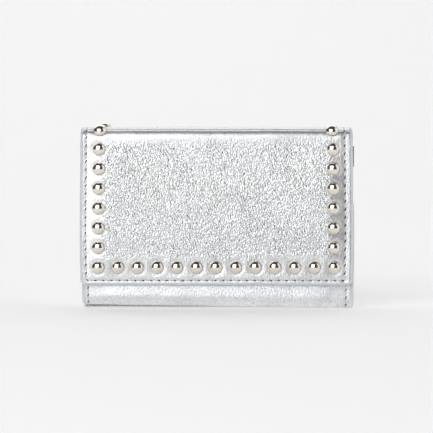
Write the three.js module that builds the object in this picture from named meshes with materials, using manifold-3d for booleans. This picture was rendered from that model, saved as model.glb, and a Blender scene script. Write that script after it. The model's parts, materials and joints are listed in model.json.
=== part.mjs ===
// Tri-fold compact leather wallet with a studded front flap, standing closed on its bottom fold.
// Millimetres, +Z up. The wallet faces -Y. The origin is the middle of the flat under the bottom fold.
// One outer leather strip runs from the flap's free edge, up the front, over the top, down the back,
// under the bottom and up behind the flap. It is cut at its creases into the panels that turn about them.

import * as THREE from "three";
import { mergeVertices } from "three/addons/utils/BufferGeometryUtils.js";
import Module from "manifold-3d";

const wasm = await Module();
wasm.setup();

// ---------- driving dimensions ----------
const HEIGHT = 73.1; // top of the stitched border above the base
const FLAP_W = 110; // width of the flap
const SPINE_W = 109.6; // width of the leather over the top
const BACK_W = 107.8; // width of the bottom fold, and of the back panel where they meet
const BACK_TOP_W = 105.2; // width of the back panel beside the ring
const POCKET_W = 110.8; // width of the front pocket panel
const LEATHER = 1.3; // outer leather
const SKIN = 0.15; // air between two glued layers
const FLAP_Z0 = 9.7; // height of the flap's free edge
const FLAP_LEAN = 4; // degrees that the flap leans back
const FLAP_Y0 = -10.4; // flap's outer face at its free edge
const FLAP_CORNER = 3.6; // radius of the flap's free corners
const FLAP_STIFF = 0.6; // stiffener board
const FLAP_LINING = 0.8; // flap lining
const BACK_Y = 7; // outer face of the back panel
const TOP_R_FRONT = 5; // outer radius of the fold over the front
const TOP_R_BACK = 5.4; // outer radius of the fold over the back
const BASE_R = 4; // outer radius of both bottom folds
const POCKET_LEAN = 6.5; // degrees that the pocket panel leans back
const POCKET_Y0 = -7.2; // pocket panel's outer face at the height of the fold's centre
const POCKET_TOP = 45; // height of the pocket panel's upper edge
const POCKET_CORNER = 4;
const CREASE_GAP = 0.9; // gap between two panels at a crease
const BEND_GAP = 1.6; // the same at the pocket panel, which turns further

const STUD_D = 5.4; // dome diameter
const STUD_H = 2.25; // dome height
const STUD_PITCH = 7.92;
const STUD_ROW = 12; // pitches in the bottom row
const STUD_UP = 7.0; // from the flap's free edge to the bottom row, along the leather
const STUD_COL_PITCH = 7.95;
const SHANK_R = 0.7;
const SHANK_HOLE_R = 1.0;
const SHANK_L = 1.15;

const SNAP_S = 19.4; // magnetic snap: distance from the flap's free edge
const SNAP_R = 6.4;

const COIN_W = 92; // coin pocket
const COIN_Y1 = 11.5; // inner face of the coin pocket's outer wall
const COIN_WALL = 0.9;
const COIN_TOP = 50; // mouth of the coin pocket
const LID_W = 84;
const LID_Z = 60.5; // hinge line of the lid
const LID_DROP = 24;
const LID_T = 1.0;
const LID_IN_Y = 13.9; // inner face of the lid's hanging part
const COIN_SNAP_Z = 43;

const RING_WIRE = 1.4;
const RING_X = 54.9; // axis of the ring's bar
const RING_Y = 4.1;
const RING_Z = 61.2; // middle of the ring
const RING_IN_H = 9.6; // clear height inside the ring
const RING_REACH = 8.6; // from the bar's axis to the far side's middle

// ---------- small helpers ----------
const rad = (d) => (d * Math.PI) / 180;
const root = new THREE.Group();
root.name = "wallet";

const looks = {
  silver: new THREE.MeshStandardMaterial({ color: 0xd9dadc, roughness: 0.35, metalness: 0.85 }),
  lining: new THREE.MeshStandardMaterial({ color: 0xb9bcc2, roughness: 0.6, metalness: 0.1 }),
  board: new THREE.MeshStandardMaterial({ color: 0xc9c4b8, roughness: 0.9, metalness: 0 }),
  stud: new THREE.MeshStandardMaterial({ color: 0xe6dccb, roughness: 0.12, metalness: 1 }),
  nickel: new THREE.MeshStandardMaterial({ color: 0xd6d2c8, roughness: 0.15, metalness: 1 }),
  magnet: new THREE.MeshStandardMaterial({ color: 0x4a4a4d, roughness: 0.5, metalness: 0.6 }),
};

function add(name, geometry, material, parent = root) {
  const m = new THREE.Mesh(geometry, material);
  m.name = name;
  parent.add(m);
  return m;
}

// A shape drawn in (Y, Z) is extruded along X from x0 to x1.
const YZ_TO_XYZ = new THREE.Matrix4().makeBasis(
  new THREE.Vector3(0, 1, 0),
  new THREE.Vector3(0, 0, 1),
  new THREE.Vector3(1, 0, 0),
);
function alongX(points, x0, x1) {
  const shape = new THREE.Shape(points.map(([y, z]) => new THREE.Vector2(y, z)));
  const g = new THREE.ExtrudeGeometry(shape, { depth: x1 - x0, bevelEnabled: false, steps: 1 });
  g.translate(0, 0, x0);
  g.applyMatrix4(YZ_TO_XYZ);
  return g;
}

function box(x0, x1, y0, y1, z0, z1) {
  const g = new THREE.BoxGeometry(x1 - x0, y1 - y0, z1 - z0);
  g.translate((x0 + x1) / 2, (y0 + y1) / 2, (z0 + z1) / 2);
  return g;
}

// Manifold solid from a geometry, and back again.
function solid(g) {
  const plain = (g.index ? g.toNonIndexed() : g.clone());
  for (const k of Object.keys(plain.attributes)) if (k !== "position") plain.deleteAttribute(k);
  const merged = mergeVertices(plain, 1e-4);
  return new wasm.Manifold(
    new wasm.Mesh({
      numProp: 3,
      vertProperties: new Float32Array(merged.attributes.position.array),
      triVerts: new Uint32Array(merged.index.array),
    }),
  );
}
function geometry(s) {
  const m = s.getMesh();
  const v = new Float32Array(m.numVert * 3);
  for (let i = 0; i < m.numVert; i++) v.set(m.vertProperties.subarray(i * m.numProp, i * m.numProp + 3), i * 3);
  const g = new THREE.BufferGeometry().setAttribute("position", new THREE.BufferAttribute(v, 3));
  g.setIndex(new THREE.BufferAttribute(new Uint32Array(m.triVerts), 1));
  g.computeVertexNormals();
  return g;
}
const cut = (a, ...tools) => geometry(tools.reduce((s, t) => s.subtract(solid(t)), solid(a)));
const join = (...parts) => geometry(parts.slice(1).reduce((s, t) => s.add(solid(t)), solid(parts[0])));

// ---------- the outer leather's path over the top, seen from the side ----------
// s runs from the flap's free edge, up the front, over the top and down the back.
const lean = rad(FLAP_LEAN);
const flapN = [-Math.cos(lean), Math.sin(lean)]; // outward normal of the flap, in (Y, Z)
const flapT = [Math.sin(lean), Math.cos(lean)]; // up the flap
const frontC = (() => {
  const z = HEIGHT - TOP_R_FRONT;
  const y = FLAP_Y0 + (TOP_R_FRONT + (z - FLAP_Z0) * flapN[1]) / -flapN[0];
  return [y, z];
})();
const backC = [BACK_Y - TOP_R_BACK, HEIGHT - TOP_R_BACK];
const tangentZ = frontC[1] + TOP_R_FRONT * flapN[1];
const S_FLAP = (tangentZ - FLAP_Z0) / flapT[1]; // end of the straight flap
const ARC_FRONT = rad(90) - lean;
const S_FRONT = S_FLAP + TOP_R_FRONT * ARC_FRONT;
const S_TOP = S_FRONT + (backC[0] - frontC[0]);
const S_BACK = S_TOP + TOP_R_BACK * rad(90);
const BACK_Z0 = 4.6; // lower end of the back panel

function overTop(s) {
  if (s <= S_FLAP) return { p: [FLAP_Y0 + flapT[0] * s, FLAP_Z0 + flapT[1] * s], n: flapN };
  if (s <= S_FRONT) {
    const a = (s - S_FLAP) / TOP_R_FRONT + lean; // angle above the horizontal
    const n = [-Math.cos(a), Math.sin(a)];
    return { p: [frontC[0] + TOP_R_FRONT * n[0], frontC[1] + TOP_R_FRONT * n[1]], n };
  }
  if (s <= S_TOP) return { p: [frontC[0] + (s - S_FRONT), HEIGHT], n: [0, 1] };
  if (s <= S_BACK) {
    const a = (s - S_TOP) / TOP_R_BACK;
    const n = [Math.sin(a), Math.cos(a)];
    return { p: [backC[0] + TOP_R_BACK * n[0], backC[1] + TOP_R_BACK * n[1]], n };
  }
  return { p: [BACK_Y, backC[1] - (s - S_BACK)], n: [1, 0] };
}

// ---------- the path under the bottom, from the back panel to the pocket panel ----------
const pl = rad(POCKET_LEAN);
const pocketN = [-Math.cos(pl), Math.sin(pl)];
const pocketT = [Math.sin(pl), Math.cos(pl)];
const baseBackC = [BACK_Y - BASE_R, BASE_R];
const baseFrontC = [POCKET_Y0 + BASE_R / Math.cos(pl), BASE_R];
const B_ARC1 = BASE_R * rad(90);
const B_FLAT = B_ARC1 + (baseBackC[0] - baseFrontC[0]);
const ARC_BASE = rad(90) + pl;
const B_ARC2 = B_FLAT + BASE_R * ARC_BASE;
const pocketRoot = [baseFrontC[0] + BASE_R * pocketN[0], baseFrontC[1] + BASE_R * pocketN[1]];
const POCKET_L = (POCKET_TOP - pocketRoot[1]) / pocketT[1];

function underBase(s) {
  if (s <= B_ARC1) {
    const a = s / BASE_R;
    const n = [Math.cos(a), -Math.sin(a)];
    return { p: [baseBackC[0] + BASE_R * n[0], baseBackC[1] + BASE_R * n[1]], n };
  }
  if (s <= B_FLAT) return { p: [baseBackC[0] - (s - B_ARC1), 0], n: [0, -1] };
  const a = Math.min((s - B_FLAT) / BASE_R, ARC_BASE);
  const n = [-Math.sin(a), -Math.cos(a)];
  return { p: [baseFrontC[0] + BASE_R * n[0], baseFrontC[1] + BASE_R * n[1]], n };
}

// A strip of one layer between s0 and s1, from depth d0 to depth d1 under the outer face.
function layer(path, s0, s1, d0, d1, width, marks = [], step = 1.1) {
  const stops = new Set([s0, s1]);
  for (const m of marks) if (m > s0 && m < s1) stops.add(m);
  const sorted = [...stops].sort((a, b) => a - b);
  const at = [];
  for (let i = 0; i + 1 < sorted.length; i++) {
    const a = path((sorted[i] + 1e-6)).n, b = path(sorted[i + 1] - 1e-6).n;
    const straight = Math.hypot(a[0] - b[0], a[1] - b[1]) < 1e-4;
    const n = straight ? 1 : Math.max(2, Math.round((sorted[i + 1] - sorted[i]) / step));
    for (let k = 0; k < n; k++) at.push(sorted[i] + ((sorted[i + 1] - sorted[i]) * k) / n);
  }
  at.push(sorted[sorted.length - 1]);
  const off = (s, d) => {
    const { p, n } = path(s);
    return [p[0] - n[0] * d, p[1] - n[1] * d];
  };
  const pts = [...at.map((s) => off(s, d0)), ...at.reverse().map((s) => off(s, d1))];
  return alongX(pts, -width / 2, width / 2);
}
const topMarks = [S_FLAP, S_FRONT, S_TOP, S_BACK];
const baseMarks = [B_ARC1, B_FLAT];

// ---------- a flat panel in its own plane ----------
// Drawn with u across the wallet and v up the panel, with the outer face at w = 0 and the layers at negative w.
function panelShape(w, v0, v1, r0, r1) {
  const h = w / 2;
  const s = new THREE.Shape();
  s.moveTo(-h + r0, v0);
  s.lineTo(h - r0, v0);
  if (r0) s.absarc(h - r0, v0 + r0, r0, -Math.PI / 2, 0, false);
  s.lineTo(h, v1 - r1);
  if (r1) s.absarc(h - r1, v1 - r1, r1, 0, Math.PI / 2, false);
  s.lineTo(-h + r1, v1);
  if (r1) s.absarc(-h + r1, v1 - r1, r1, Math.PI / 2, Math.PI, false);
  s.lineTo(-h, v0 + r0);
  if (r0) s.absarc(-h + r0, v0 + r0, r0, Math.PI, 1.5 * Math.PI, false);
  return s;
}
function hole(shape, u, v, r, n = 10) {
  const R = r / Math.cos(Math.PI / n); // the flats of the polygon stand on the circle
  const pts = [];
  for (let i = 0; i < n; i++) {
    const a = (-2 * Math.PI * (i + 0.5)) / n;
    pts.push(new THREE.Vector2(u + R * Math.cos(a), v + R * Math.sin(a)));
  }
  shape.holes.push(new THREE.Path(pts));
}
// depth d0 to d1 under the outer face
function panel(shape, d0, d1, segments = 5) {
  const g = new THREE.ExtrudeGeometry(shape, { depth: d1 - d0, bevelEnabled: false, curveSegments: segments });
  g.translate(0, 0, -d1);
  return g;
}
// Puts a panel drawn in its own plane where it stands: u to +X, v up the panel, w along its outward normal.
function standing(origin, t, n) {
  const g = new THREE.Group();
  g.matrixAutoUpdate = false;
  g.matrix.makeBasis(
    new THREE.Vector3(1, 0, 0),
    new THREE.Vector3(0, t[0], t[1]),
    new THREE.Vector3(0, n[0], n[1]),
  );
  g.matrix.setPosition(0, origin[0], origin[1]);
  root.add(g);
  return g;
}

// ---------- studs: a dome on a short shank ----------
function studGeometry() {
  const R = (STUD_D * STUD_D) / 4 / (2 * STUD_H) + STUD_H / 2; // sphere through the rim and the crown
  const pts = [new THREE.Vector2(0, -SHANK_L), new THREE.Vector2(SHANK_R, -SHANK_L), new THREE.Vector2(SHANK_R, 0.05)];
  const rim = STUD_D / 2;
  const a0 = Math.asin(rim / R);
  for (let i = 0; i <= 5; i++) {
    const a = a0 * (1 - i / 5);
    pts.push(new THREE.Vector2(i === 5 ? 0 : R * Math.sin(a), 0.05 + STUD_H - R * (1 - Math.cos(a))));
  }
  const g = new THREE.LatheGeometry(pts, 14);
  g.rotateX(Math.PI / 2); // axis from +Y to +Z
  return g;
}
const stud = studGeometry();
const shankHole = (() => {
  const g = new THREE.CylinderGeometry(SHANK_HOLE_R, SHANK_HOLE_R, 6, 10);
  g.rotateX(Math.PI / 2);
  return g;
})();
const colX = (STUD_ROW * STUD_PITCH) / 2;
const colIn = (i) => 0.065 * i; // the columns close in a little towards the fold
const colS = (i) => STUD_UP + STUD_COL_PITCH * i; // 0 is the corner stud, 7 the stud on the fold, 8 the one behind it
const creaseFlap = (colS(6) + colS(7)) / 2;
const creaseFold = (colS(7) + colS(8)) / 2;
const creaseSpine = colS(8) + 4.2;

// ---------- flap ----------
const flap = standing([FLAP_Y0, FLAP_Z0], flapT, flapN);
const flapEnd = creaseFlap - CREASE_GAP / 2;
const flapStuds = [];
for (let i = 0; i <= STUD_ROW; i++) flapStuds.push(["stud_row_" + String(i + 1).padStart(2, "0"), -colX + i * STUD_PITCH, colS(0)]);
for (let i = 1; i <= 6; i++) {
  flapStuds.push(["stud_left_" + i, -colX + colIn(i), colS(i)]);
  flapStuds.push(["stud_right_" + i, colX - colIn(i), colS(i)]);
}
{
  const s = panelShape(FLAP_W, 0, flapEnd, FLAP_CORNER, 0);
  for (const [, u, v] of flapStuds) hole(s, u, v, SHANK_HOLE_R);
  add("flap_leather", panel(s, 0, LEATHER, 4), looks.silver, flap);
  const b = panelShape(FLAP_W - 4, 2, S_FLAP - 2, 3, 2);
  hole(b, 0, SNAP_S, SNAP_R + 0.3, 28);
  add("flap_stiffener", panel(b, LEATHER + SKIN, LEATHER + SKIN + FLAP_STIFF), looks.board, flap);
  const d = LEATHER + 2 * SKIN + FLAP_STIFF;
  const l = panelShape(FLAP_W - 0.6, 0.3, S_FLAP - 1, FLAP_CORNER, 1);
  hole(l, 0, SNAP_S, SNAP_R + 0.3, 28);
  add("flap_lining", panel(l, d, d + FLAP_LINING), looks.lining, flap);
  for (const [name, u, v] of flapStuds) {
    const m = add(name, stud.clone(), looks.stud, flap);
    m.position.set(u, v, 0.02);
  }
}
// magnetic snap on the flap: a shallow cup that holds a ring magnet
{
  const D = LEATHER + 2 * SKIN + FLAP_STIFF + FLAP_LINING; // lining's inner face
  const proud = 0.65;
  const deep = LEATHER + SKIN; // the cup starts right under the leather
  const cup = [
    [0, -deep], [SNAP_R, -deep], [SNAP_R, -(D + proud)], [SNAP_R - 0.5, -(D + proud)],
    [SNAP_R - 0.5, -(deep + 0.4)], [0, -(deep + 0.4)],
  ].reverse().map(([r, w]) => new THREE.Vector2(r, w));
  const g = new THREE.LatheGeometry(cup, 28);
  g.rotateX(Math.PI / 2);
  add("flap_snap_cup", g, looks.nickel, flap).position.set(0, SNAP_S, 0);
  const mag = [
    [2.9, -(deep + 0.55)], [SNAP_R - 0.7, -(deep + 0.55)], [SNAP_R - 0.7, -(D + proud - 0.1)], [2.9, -(D + proud - 0.1)], [2.9, -(deep + 0.55)],
  ].reverse().map(([r, w]) => new THREE.Vector2(r, w));
  const m = new THREE.LatheGeometry(mag, 28);
  m.rotateX(Math.PI / 2);
  add("flap_snap_magnet", m, looks.magnet, flap).position.set(0, SNAP_S, 0);
}

// ---------- strip over the front fold, and the top ----------
function studAt(s) {
  const { p, n } = overTop(s);
  const q = new THREE.Quaternion().setFromUnitVectors(new THREE.Vector3(0, 0, 1), new THREE.Vector3(0, n[0], n[1]));
  return { p, n, q };
}
function pierced(g, s, xs) {
  const { p, n, q } = studAt(s);
  const tools = xs.map((x) => {
    const t = shankHole.clone();
    t.applyQuaternion(q);
    t.translate(x, p[0], p[1]);
    return t;
  });
  return cut(g, ...tools);
}
function placeStud(name, s, x) {
  const { p, n, q } = studAt(s);
  const m = add(name, stud.clone(), looks.stud);
  m.quaternion.copy(q);
  m.position.set(x, p[0] + n[0] * 0.05, p[1] + n[1] * 0.05);
}
const REAR_IN = 2.1; // the stud behind the fold stands this much further in
const REAR_S = colS(8) + 1.0;
const foldIn = colIn(7) + 0.2;
const LINE0 = LEATHER + SKIN;
const LINE1 = LINE0 + 0.7;
add(
  "fold_leather",
  pierced(layer(overTop, creaseFlap + CREASE_GAP / 2, creaseFold - CREASE_GAP / 2, 0, LEATHER, SPINE_W, topMarks), colS(7), [-colX + foldIn, colX - foldIn]),
  looks.silver,
);
add("fold_lining", layer(overTop, creaseFlap + 0.8, creaseFold - 0.8, LINE0, LINE1, SPINE_W - 1, topMarks), looks.lining);
placeStud("stud_fold_left", colS(7), -colX + foldIn);
placeStud("stud_fold_right", colS(7), colX - foldIn);
add(
  "spine_top_leather",
  pierced(layer(overTop, creaseFold + CREASE_GAP / 2, creaseSpine - CREASE_GAP / 2, 0, LEATHER, SPINE_W - 0.6, topMarks, 0.9), REAR_S, [-colX + REAR_IN]),
  looks.silver,
);
add("spine_top_lining", layer(overTop, creaseFold + 0.8, creaseSpine - 0.8, LINE0, LINE1, SPINE_W - 1.6, topMarks, 0.9), looks.lining);
placeStud("stud_rear_left", REAR_S, -colX + REAR_IN);

// ---------- back panel, its lining and the card slots ----------
{
  // it narrows from the bottom fold up to the ring
  const h0 = BACK_W / 2, h1 = BACK_TOP_W / 2, zt = RING_Z - 6;
  const outline = new THREE.Shape([[-h0, 0], [h0, 0], [h1, zt], [h1, 90], [-h1, 90], [-h1, zt]].map(([a, b]) => new THREE.Vector2(a, b)));
  const keep = new THREE.ExtrudeGeometry(outline, { depth: 40, bevelEnabled: false });
  keep.rotateX(Math.PI / 2); // (u, v, w) to (u, -w, v)
  keep.translate(0, 30, 0);
  const strip = layer(overTop, creaseSpine + CREASE_GAP / 2, S_BACK + backC[1] - BACK_Z0, 0, LEATHER, BACK_W, topMarks, 0.9);
  add("back_panel", geometry(solid(strip).intersect(solid(keep))), looks.silver);
}
const backPlane = (y) => standing([y, 0], [0, 1], [-1, 0]); // panels here face the inside, so w runs to -Y
// The inside faces -Y: a panel's outer face at w = 0 looks to the front.
function innerLeaf(name, y0, thick, w, z0, z1, r, look) {
  const g = standing([y0, 0], [0, 1], [-1, 0]);
  // makeBasis(u=+X, v=+Z, w=-Y) is a proper rotation
  const s = panelShape(w, z0, z1, 0.01 + 1, r);
  add(name, panel(s, 0, thick, 4), look, g);
}
innerLeaf("back_lining", 3.1, 0.8, 105, 5.2, 65.5, 2, looks.lining);
innerLeaf("card_slot_upper", 2.3, 0.6, 99, 6, 61, 2, looks.lining);
innerLeaf("card_slot_middle", 1.5, 0.6, 99, 6, 53.5, 2, looks.lining);
innerLeaf("card_slot_lower", 0.7, 0.6, 99, 6, 46, 2, looks.lining);

// ---------- bottom fold ----------
add("base_fold_leather", layer(underBase, 0.15, B_ARC2 - BEND_GAP / 2, 0, LEATHER, BACK_W, baseMarks, 1.05), looks.silver);
add("base_fold_lining", box(-BACK_W / 2 + 1, BACK_W / 2 - 1, baseFrontC[0] + 0.6, baseBackC[0] - 0.6, LINE0, LINE1), looks.lining);

// ---------- front pocket panel, behind the flap ----------
const pocket = standing(pocketRoot, pocketT, pocketN);
{
  const snapV = (() => {
    // the height on the pocket that faces the snap on the flap
    const D = LEATHER + 2 * SKIN + FLAP_STIFF + FLAP_LINING;
    const y = FLAP_Y0 + flapT[0] * SNAP_S - flapN[0] * D;
    const z = FLAP_Z0 + flapT[1] * SNAP_S - flapN[1] * D;
    return (y - pocketRoot[0]) * pocketT[0] + (z - pocketRoot[1]) * pocketT[1];
  })();
  add("pocket_leather", panel(panelShape(POCKET_W, BEND_GAP / 2, POCKET_L, 0, POCKET_CORNER), 0, LEATHER), looks.silver, pocket);
  add("pocket_lining", panel(panelShape(POCKET_W - 0.6, BEND_GAP / 2 + 0.2, POCKET_L - 0.3, 0, POCKET_CORNER), LEATHER + SKIN, LEATHER + SKIN + 0.8), looks.lining, pocket);
  add("pocket_card_slot", panel(panelShape(99, 1.6, POCKET_L - 7, 1, 2), 2.55, 3.15), looks.lining, pocket);
  const plate = [
    [0, 0.08], [SNAP_R - 0.4, 0.08], [SNAP_R - 0.4, 0.34], [2.0, 0.38], [1.8, 1.0], [0, 1.0],
  ].map(([r, w]) => new THREE.Vector2(r, w));
  const g = new THREE.LatheGeometry(plate, 28);
  g.rotateX(Math.PI / 2);
  add("pocket_snap_plate", g, looks.nickel, pocket).position.set(0, snapV, 0);
}

// ---------- coin pocket on the back ----------
{
  const h = COIN_W / 2, y0 = BACK_Y + 0.15, y1 = COIN_Y1 + COIN_WALL, t = 0.9;
  const g = standing([y1, 0], [0, 1], [1, 0]); // its outer face looks to +Y
  g.matrix.makeBasis(new THREE.Vector3(-1, 0, 0), new THREE.Vector3(0, 0, 1), new THREE.Vector3(0, 1, 0));
  g.matrix.setPosition(0, y1, 0);
  const s = panelShape(COIN_W, 0.0, COIN_TOP, 2, 4);
  hole(s, 0, COIN_SNAP_Z, 1.2, 14);
  add("coin_pocket_wall", panel(s, 0, COIN_WALL), looks.silver, g);
  add("coin_gusset_left", box(-h + 0.3, -h + 0.3 + t, y0, COIN_Y1 - 0.15, 1.4, COIN_TOP - 4), looks.silver);
  add("coin_gusset_right", box(h - 0.3 - t, h - 0.3, y0, COIN_Y1 - 0.15, 1.4, COIN_TOP - 4), looks.silver);
  add("coin_gusset_base", box(-h + 0.5, h - 0.5, y0, COIN_Y1 - 0.15, 0, 1.2), looks.silver);
  // snap stud on the wall, with its eyelet flange inside
  const snap = [
    [0, -1.15], [3.2, -1.15], [3.2, -0.95], [0.9, -0.95], [0.9, 0.08], [2.6, 0.08], [2.6, 0.3], [1.5, 0.4], [1.6, 0.85], [1.1, 1.1], [0, 1.1],
  ].map(([r, w]) => new THREE.Vector2(r, w));
  const sg = new THREE.LatheGeometry(snap, 20);
  sg.rotateX(Math.PI / 2);
  add("coin_snap_stud", sg, looks.nickel, g).position.set(0, COIN_SNAP_Z, 0);
}
// the lid: from the stitched root out over the mouth and down
{
  const yo = LID_IN_Y + LID_T, r = 4.2, zt = LID_Z + 0.5 + LID_T, y0 = BACK_Y + 0.5;
  const outer = [[y0, zt]], inner = [[y0, zt - LID_T]];
  for (let i = 0; i <= 6; i++) {
    const a = rad((90 * i) / 6);
    outer.push([yo - r + r * Math.sin(a), zt - r + r * Math.cos(a)]);
    inner.push([yo - r + (r - LID_T) * Math.sin(a), zt - r + (r - LID_T) * Math.cos(a)]);
  }
  const zb = zt - LID_DROP;
  outer.push([yo, zb]);
  inner.push([yo - LID_T, zb]);
  const strip = alongX([...outer, ...inner.reverse()], -LID_W / 2, LID_W / 2);
  // round the lid's free corners and let the snap's post through
  const keepShape = panelShape(LID_W, zb - 0.01, zt + 5, 9, 0);
  const keep = new THREE.ExtrudeGeometry(keepShape, { depth: 30, bevelEnabled: false, curveSegments: 8 });
  keep.rotateX(Math.PI / 2); // (u, v, w) to (u, -w, v)
  keep.translate(0, 30, 0);
  const post = new THREE.CylinderGeometry(1.3, 1.3, 8, 14);
  post.translate(0, yo, COIN_SNAP_Z);
  const body = solid(strip).intersect(solid(keep)).subtract(solid(post));
  add("coin_lid_leather", geometry(body), looks.silver);
  // cap outside and socket inside, both round the same post
  const g = standing([yo, 0], [0, 1], [1, 0]);
  g.matrix.makeBasis(new THREE.Vector3(-1, 0, 0), new THREE.Vector3(0, 0, 1), new THREE.Vector3(0, 1, 0));
  g.matrix.setPosition(0, yo, 0);
  const cap = [
    [0, -LID_T + 0.1], [1.0, -LID_T + 0.1], [1.0, 0.06], [5.0, 0.06], [5.0, 0.35], [4.4, 0.75], [2.6, 1.05], [0, 1.15],
  ].map(([r2, w]) => new THREE.Vector2(r2, w));
  const cg = new THREE.LatheGeometry(cap, 24);
  cg.rotateX(Math.PI / 2);
  add("coin_snap_cap", cg, looks.nickel, g).position.set(0, COIN_SNAP_Z, 0);
  const sock = [
    [2.0, -LID_T - 0.85], [3.4, -LID_T - 0.85], [3.9, -LID_T - 0.4], [3.9, -LID_T - 0.08], [2.0, -LID_T - 0.08], [2.0, -LID_T - 0.85],
  ].map(([r2, w]) => new THREE.Vector2(r2, w));
  const so = new THREE.LatheGeometry(sock, 24);
  so.rotateX(Math.PI / 2);
  add("coin_snap_socket", so, looks.nickel, g).position.set(0, COIN_SNAP_Z, 0);
}

// ---------- ring for a chain, in a leather loop in the right seam ----------
{
  const ri = 0.85, ro = 1.35, x = RING_X, y = RING_Y, tail = 49.5, n = 12;
  const outer = [], inner = [];
  for (let i = 0; i <= n; i++) {
    const a = rad(90 - (270 * i) / n);
    outer.push([x + ro * Math.cos(a), y + ro * Math.sin(a)]);
    inner.push([x + ri * Math.cos(a), y + ri * Math.sin(a)]);
  }
  // the two tails come together between the back panel and its lining
  const pts = [
    [tail, y + ro], ...outer, [x - 1.75, y + 0.15], [tail, y + 0.15], [tail, y + 0.65], [x - 0.95, y + 0.65],
    ...inner.reverse(), [tail, y + ri],
  ];
  const s = new THREE.Shape(pts.map(([a, b]) => new THREE.Vector2(a, b)));
  const g = new THREE.ExtrudeGeometry(s, { depth: 8.4, bevelEnabled: false });
  g.translate(0, 0, RING_Z - 4.2);
  add("ring_tab", g, looks.silver);

  // the D: drawn with a = outward from the bar, b = up, then turned so that it points to +Y
  const w = RING_WIRE / 2, hi = RING_IN_H / 2, R = hi + RING_WIRE;
  const D = (inset) => {
    const q = [];
    const x0 = -w + inset, h = hi + RING_WIRE - inset, reach = RING_REACH + w - inset;
    q.push([x0, -h]);
    const k = reach - h > x0 ? reach - h : 0.2;
    const m = 14;
    for (let i = 0; i <= m; i++) {
      const a = rad(-90 + (180 * i) / m);
      q.push([k + (reach - k) * Math.cos(a), h * Math.sin(a)]);
    }
    q.push([x0, h]);
    return q;
  };
  const shape = new THREE.Shape(D(0.25).map(([a, b]) => new THREE.Vector2(a, b)));
  const inn = D(RING_WIRE - 0.25).reverse().map(([a, b]) => new THREE.Vector2(a, b));
  shape.holes.push(new THREE.Path(inn));
  const rg = new THREE.ExtrudeGeometry(shape, { depth: RING_WIRE - 0.5, bevelEnabled: true, bevelThickness: 0.25, bevelSize: 0.25, bevelSegments: 1 });
  rg.translate(0, 0, -(RING_WIRE - 0.5) / 2);
  const m = add("d_ring", rg, looks.nickel);
  m.matrixAutoUpdate = false;
  m.matrix.makeBasis(new THREE.Vector3(0, 1, 0), new THREE.Vector3(0, 0, 1), new THREE.Vector3(1, 0, 0));
  m.matrix.setPosition(RING_X, RING_Y, RING_Z);
}

export default root;
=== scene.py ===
import bpy
import json
import math
import numpy as np
from mathutils import Matrix, Vector, noise


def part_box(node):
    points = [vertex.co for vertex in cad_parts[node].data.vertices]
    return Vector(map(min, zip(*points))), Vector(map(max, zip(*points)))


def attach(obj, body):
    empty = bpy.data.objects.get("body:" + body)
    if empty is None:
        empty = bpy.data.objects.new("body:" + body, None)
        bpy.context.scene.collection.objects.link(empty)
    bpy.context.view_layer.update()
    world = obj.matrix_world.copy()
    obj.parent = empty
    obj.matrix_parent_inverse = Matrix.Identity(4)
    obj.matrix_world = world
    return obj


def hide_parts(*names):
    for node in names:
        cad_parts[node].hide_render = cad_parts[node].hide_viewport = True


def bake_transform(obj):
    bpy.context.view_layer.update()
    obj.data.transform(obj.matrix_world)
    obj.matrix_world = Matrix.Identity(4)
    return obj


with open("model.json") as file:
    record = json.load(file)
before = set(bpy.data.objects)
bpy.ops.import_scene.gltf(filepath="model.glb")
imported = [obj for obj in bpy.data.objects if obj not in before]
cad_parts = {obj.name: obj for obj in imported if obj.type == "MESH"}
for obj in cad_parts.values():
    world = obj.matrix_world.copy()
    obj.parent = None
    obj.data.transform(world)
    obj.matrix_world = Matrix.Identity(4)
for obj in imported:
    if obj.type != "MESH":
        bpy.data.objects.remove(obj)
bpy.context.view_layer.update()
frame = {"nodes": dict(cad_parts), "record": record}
MM = 0.001
scene = bpy.context.scene

# ---------------------------------------------------------------- the leather's path, in millimetres
HEIGHT, LEATHER = 73.1, 1.3
FLAP_Z0, FLAP_Y0, LEAN = 9.7, -10.4, math.radians(4)
BACK_Y, RF, RB, RBASE = 7.0, 5.0, 5.4, 4.0
PLEAN, POCKET_Y0, POCKET_TOP = math.radians(6.5), -7.2, 45.0
fn = (-math.cos(LEAN), math.sin(LEAN))
ft = (math.sin(LEAN), math.cos(LEAN))
fz = HEIGHT - RF
fy = FLAP_Y0 + (RF + (fz - FLAP_Z0) * fn[1]) / -fn[0]
by, bz = BACK_Y - RB, HEIGHT - RB
S1 = (fz + RF * fn[1] - FLAP_Z0) / ft[1]  # straight flap ends
S2 = S1 + RF * (math.pi / 2 - LEAN)  # front fold ends
S3 = S2 + by - fy  # flat top ends
S4 = S3 + RB * math.pi / 2  # back fold ends
S5 = S4 + bz - RBASE  # back panel ends
S6 = S5 + RBASE * math.pi / 2
bfy = POCKET_Y0 + RBASE / math.cos(PLEAN)
S7 = S6 + (BACK_Y - RBASE - bfy)
S8 = S7 + RBASE * (math.pi / 2 + PLEAN)  # bottom fold ends, pocket panel starts
proot = (bfy - RBASE * math.cos(PLEAN), RBASE + RBASE * math.sin(PLEAN))
PT = (math.sin(PLEAN), math.cos(PLEAN))
S9 = S8 + (POCKET_TOP - proot[1]) / PT[1]  # pocket panel's upper edge


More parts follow.
